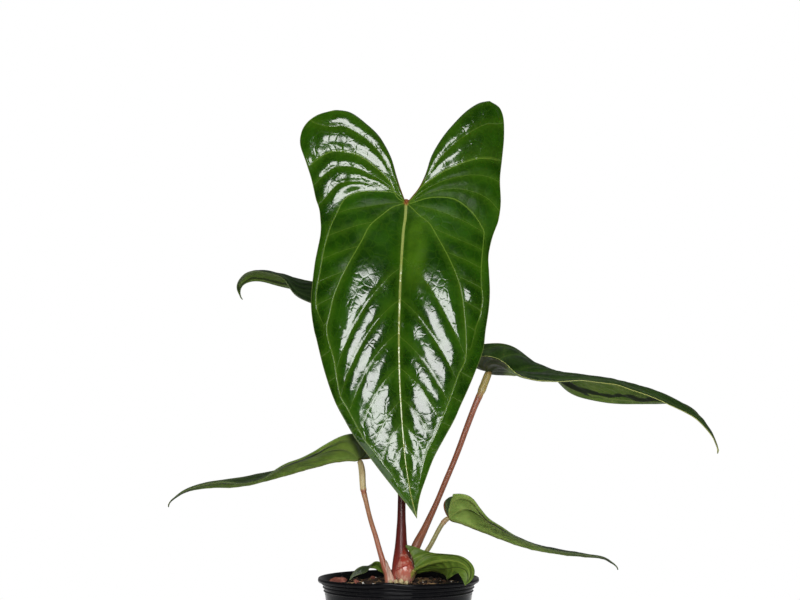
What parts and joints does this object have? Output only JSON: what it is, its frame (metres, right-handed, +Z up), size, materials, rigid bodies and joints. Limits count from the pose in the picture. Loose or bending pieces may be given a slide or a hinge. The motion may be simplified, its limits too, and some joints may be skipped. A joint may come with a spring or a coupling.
{
  "type": "potted anthurium hybrid",
  "caption": "Potted aroid house plant: a large glossy heart-shaped leaf hung upright, with smaller long-stalked leaves round it in a thin black nursery pot of bark mix.",
  "frame": {"origin": "middle of the pot's underside, on the surface that the pot stands on", "axes": "+Z up; the plant's front, where the large leaf's glossy face looks, faces -Y; +X is to the viewer's right"},
  "size_m": [0.4261, 0.1567, 0.4606],
  "materials": {
    "front_blade": "glossy deep green, thin yellow-green veins, paler underside",
    "front_petiole": "satin leaf stalk with a swollen joint below the blade",
    "back_left_blade": "semi-gloss dark green above, light green below",
    "back_left_petiole": "satin leaf stalk with a swollen joint below the blade",
    "right_high_blade": "semi-gloss dark green above, light green below",
    "right_high_petiole": "satin leaf stalk with a swollen joint below the blade",
    "left_low_blade": "semi-gloss mid green, light green below",
    "left_low_petiole": "satin leaf stalk with a swollen joint below the blade",
    "right_low_blade": "semi-gloss light green, grey-green tail",
    "right_low_petiole": "satin leaf stalk with a swollen joint below the blade",
    "over_rim_blade": "young glossy green, yellow-green at the base",
    "over_rim_petiole": "satin leaf stalk with a swollen joint below the blade",
    "left_small_blade": "semi-gloss grey-green above, light green below",
    "left_small_petiole": "satin leaf stalk with a swollen joint below the blade",
    "growth_bud": "glossy rose and cream growth bud",
    "cataphyll": "papery pink-brown bud scale",
    "rhizome": "rough brown stem with cream root stubs",
    "clay_chips": "rough fired clay",
    "potting_mix": "dark bark and moss mix with white grit",
    "nursery_pot": "thin black moulded plastic, semi-gloss"
  },
  "bodies": {
    "root": {"front_blade": "front_blade", "front_petiole": "front_petiole", "back_left_blade": "back_left_blade", "back_left_petiole": "back_left_petiole", "right_high_blade": "right_high_blade", "right_high_petiole": "right_high_petiole", "left_low_blade": "left_low_blade", "left_low_petiole": "left_low_petiole", "right_low_blade": "right_low_blade", "right_low_petiole": "right_low_petiole", "over_rim_blade": "over_rim_blade", "over_rim_petiole": "over_rim_petiole", "left_small_blade": "left_small_blade", "left_small_petiole": "left_small_petiole", "growth_bud": "growth_bud", "cataphyll": "cataphyll", "rhizome": "rhizome", "clay_chip_1": "clay_chips", "clay_chip_2": "clay_chips", "clay_chip_3": "clay_chips", "potting_mix": "potting_mix", "nursery_pot": "nursery_pot"}
  },
  "joints": []
}
